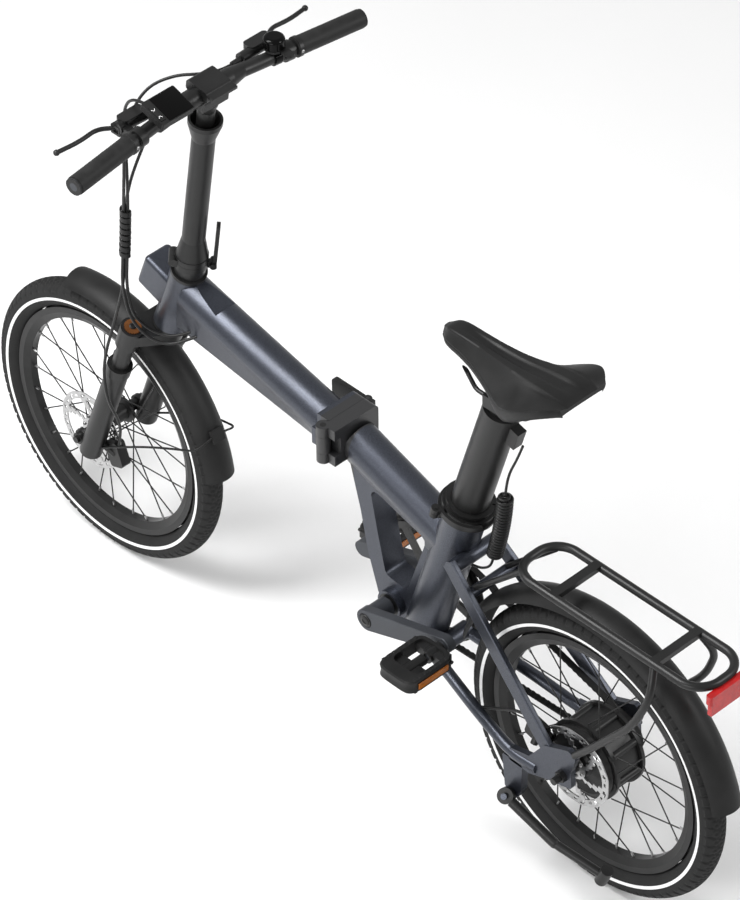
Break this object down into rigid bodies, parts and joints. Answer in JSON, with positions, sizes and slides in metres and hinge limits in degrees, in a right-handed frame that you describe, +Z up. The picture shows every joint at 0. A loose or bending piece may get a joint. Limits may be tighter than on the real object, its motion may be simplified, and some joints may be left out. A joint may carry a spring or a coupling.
{
  "type": "folding bicycle",
  "caption": "Folding bicycle with small wheels, a hub motor, a belt drive, a folding stem and frame, a rear rack and a telescopic seat post.",
  "frame": {"origin": "middle of the bicycle's box, on the ground under it", "axes": "+X forward, +Y to the rider's left, +Z up"},
  "size_m": [1.6094, 0.5882, 1.0952],
  "materials": {
    "black_metal": "satin black",
    "black_plastic": "matte",
    "cable": "satin",
    "frame_paint": "satin metallic",
    "gloss_black": "gloss",
    "leather": "matte vinyl",
    "red_lens": "gloss",
    "rim_black": "satin",
    "rubber": "matte",
    "spoke": "black oxide",
    "steel": "brushed",
    "tyre": "matte"
  },
  "bodies": {
    "root": {"rear_frame": "frame_paint", "rear_stays": "black_metal", "seat_clamp_ring": "black_metal", "bottom_bracket": "black_metal", "rear_fender": "black_plastic", "rear_rack": "black_metal", "tail_light": "red_lens", "rear_caliper": "black_metal", "rear_axle": "steel", "drive_belt": "rubber", "frame_hinge_pin": "steel", "seat_cable": "cable"},
    "seat_lever": {"seat_clamp_lever": "black_metal"},
    "kickstand": {"kickstand_leg": "black_metal"},
    "cranks": {"left_crank": "black_metal", "right_crank": "black_metal", "front_sprocket": "black_metal"},
    "left_pedal": {"left_pedal_hub": "black_metal"},
    "right_pedal": {"right_pedal_hub": "black_metal"},
    "left_cage": {"left_pedal_cage": "black_plastic"},
    "right_cage": {"right_pedal_cage": "black_plastic"},
    "rear_wheel": {"rear_tyre": "tyre", "rear_rim": "rim_black", "rear_spokes": "spoke", "hub_motor": "black_metal", "rear_rotor": "steel"},
    "rear_cog": {"rear_sprocket": "black_metal"},
    "seat": {"seatpost": "black_metal", "saddle": "leather", "saddle_rails": "steel"},
    "front_half": {"front_frame": "frame_paint", "headset": "black_metal"},
    "frame_latch": {"frame_latch_lever": "black_metal"},
    "steering": {"fork_crown": "black_metal", "stem_base": "black_metal", "front_hose": "cable", "rear_hose": "cable", "display_wire": "cable"},
    "fork_slider": {"fork_lowers": "black_metal", "front_fender": "black_plastic", "front_caliper": "black_metal", "front_axle": "steel"},
    "front_wheel": {"front_tyre": "tyre", "front_rim": "rim_black", "front_spokes": "spoke", "front_hub": "black_metal", "front_rotor": "steel"},
    "stem": {"handlepost": "black_metal"},
    "stem_latch": {"stem_latch_lever": "black_metal"},
    "bar": {"inner_post": "black_metal", "handlebar_clamp": "black_metal", "handlebar": "black_metal", "grips": "rubber", "brake_lever_bodies": "black_metal", "display": "gloss_black", "bell": "gloss_black"},
    "left_brake": {"left_brake_lever": "black_metal"},
    "right_brake": {"right_brake_lever": "black_metal"},
    "bell_tab": {"bell_lever": "gloss_black"},
    "keys": {"display_keys": "black_plastic"}
  },
  "joints": [
    {"name": "frame_fold", "type": "hinge", "parent": "root", "child": "front_half", "pos_m": [0.00102, 0.052, 0.5685], "axis": [0, 0, 1], "range_deg": [0, 150]},
    {"name": "frame_latch", "type": "hinge", "parent": "front_half", "child": "frame_latch", "pos_m": [0.01352, -0.054, 0.5685], "axis": [0, 0, -1], "range_deg": [0, 110]},
    {"name": "steering", "type": "hinge", "parent": "front_half", "child": "steering", "pos_m": [0.37124, 0, 0.61018], "axis": [0.3404, 0, -0.9403], "range_deg": [-45, 45], "deforming": ["front_hose", "rear_hose", "display_wire"]},
    {"name": "fork_suspension", "type": "slide", "parent": "steering", "child": "fork_slider", "axis": [-0.3404, 0, 0.9403], "range_m": [0, 0.025], "stiffness_N_per_m": 9000},
    {"name": "front_wheel", "type": "hinge", "parent": "fork_slider", "child": "front_wheel", "pos_m": [0.55272, 0, 0.252], "axis": [0, 1, 0], "continuous": true},
    {"name": "rear_wheel", "type": "hinge", "parent": "root", "child": "rear_wheel", "pos_m": [-0.52898, 0, 0.252], "axis": [0, 1, 0], "continuous": true},
    {"name": "crank", "type": "hinge", "parent": "root", "child": "cranks", "pos_m": [-0.11798, 0, 0.302], "axis": [0, 1, 0], "continuous": true},
    {"name": "rear_sprocket", "type": "hinge", "parent": "root", "child": "rear_cog", "pos_m": [-0.52898, 0, 0.252], "axis": [0, 1, 0], "continuous": true},
    {"name": "left_pedal_spin", "type": "hinge", "parent": "cranks", "child": "left_pedal", "pos_m": [-0.28393, 0.1, 0.35753], "axis": [0, 1, 0], "continuous": true},
    {"name": "right_pedal_spin", "type": "hinge", "parent": "cranks", "child": "right_pedal", "pos_m": [0.04798, -0.1, 0.24647], "axis": [0, 1, 0], "continuous": true},
    {"name": "left_pedal_fold", "type": "hinge", "parent": "left_pedal", "child": "left_cage", "pos_m": [-0.28393, 0.099, 0.35753], "axis": [1, 0, 0], "range_deg": [0, 90]},
    {"name": "right_pedal_fold", "type": "hinge", "parent": "right_pedal", "child": "right_cage", "pos_m": [0.04798, -0.099, 0.24647], "axis": [-1, 0, 0], "range_deg": [0, 90]},
    {"name": "kickstand", "type": "hinge", "parent": "root", "child": "kickstand", "pos_m": [-0.42698, 0.092, 0.15], "axis": [-0.3171, 0.7802, 0.5392], "range_deg": [-97.7, 0]},
    {"name": "seatpost_slide", "type": "slide", "parent": "root", "child": "seat", "axis": [-0.2874, 0, 0.9578], "range_m": [-0.15, 0.08], "deforming": ["seat_cable"]},
    {"name": "seat_clamp", "type": "hinge", "parent": "root", "child": "seat_lever", "pos_m": [-0.23772, 0.052, 0.58075], "axis": [0.2874, 0, -0.9578], "range_deg": [0, 150]},
    {"name": "stem_fold", "type": "hinge", "parent": "steering", "child": "stem", "pos_m": [0.3611, 0.0198, 0.70395], "axis": [0.6992, -0.7071, 0.1052], "range_deg": [-150, 0], "deforming": ["front_hose", "rear_hose", "display_wire"]},
    {"name": "stem_latch", "type": "hinge", "parent": "steering", "child": "stem_latch", "pos_m": [0.31879, -0.02404, 0.6905], "axis": [0.6992, -0.7071, 0.1052], "range_deg": [0, 100]},
    {"name": "post_slide", "type": "slide", "parent": "stem", "child": "bar", "axis": [-0.1488, 0, 0.9889], "range_m": [-0.012, 0.08], "deforming": ["front_hose", "rear_hose", "display_wire"]},
    {"name": "left_brake", "type": "hinge", "parent": "bar", "child": "left_brake", "pos_m": [0.32109, 0.15, 1.04334], "axis": [0, 0, 1], "range_deg": [0, 18], "stiffness_Nm_per_rad": 0.8},
    {"name": "right_brake", "type": "hinge", "parent": "bar", "child": "right_brake", "pos_m": [0.32109, -0.15, 1.04334], "axis": [0, 0, -1], "range_deg": [0, 18], "stiffness_Nm_per_rad": 0.8},
    {"name": "bell_tab", "type": "hinge", "parent": "bar", "child": "bell_tab", "pos_m": [0.28156, -0.128, 1.06352], "axis": [0, 0, -1], "range_deg": [0, 20], "stiffness_Nm_per_rad": 0.08},
    {"name": "display_keys", "type": "hinge", "parent": "bar", "child": "keys", "pos_m": [0.26369, 0.126, 1.08417], "axis": [0, 1, 0], "range_deg": [-3, 3], "stiffness_Nm_per_rad": 0.05}
  ],
  "couplings": [
    {"joint": "rear_sprocket", "follows": "crank", "ratio": 3}
  ]
}
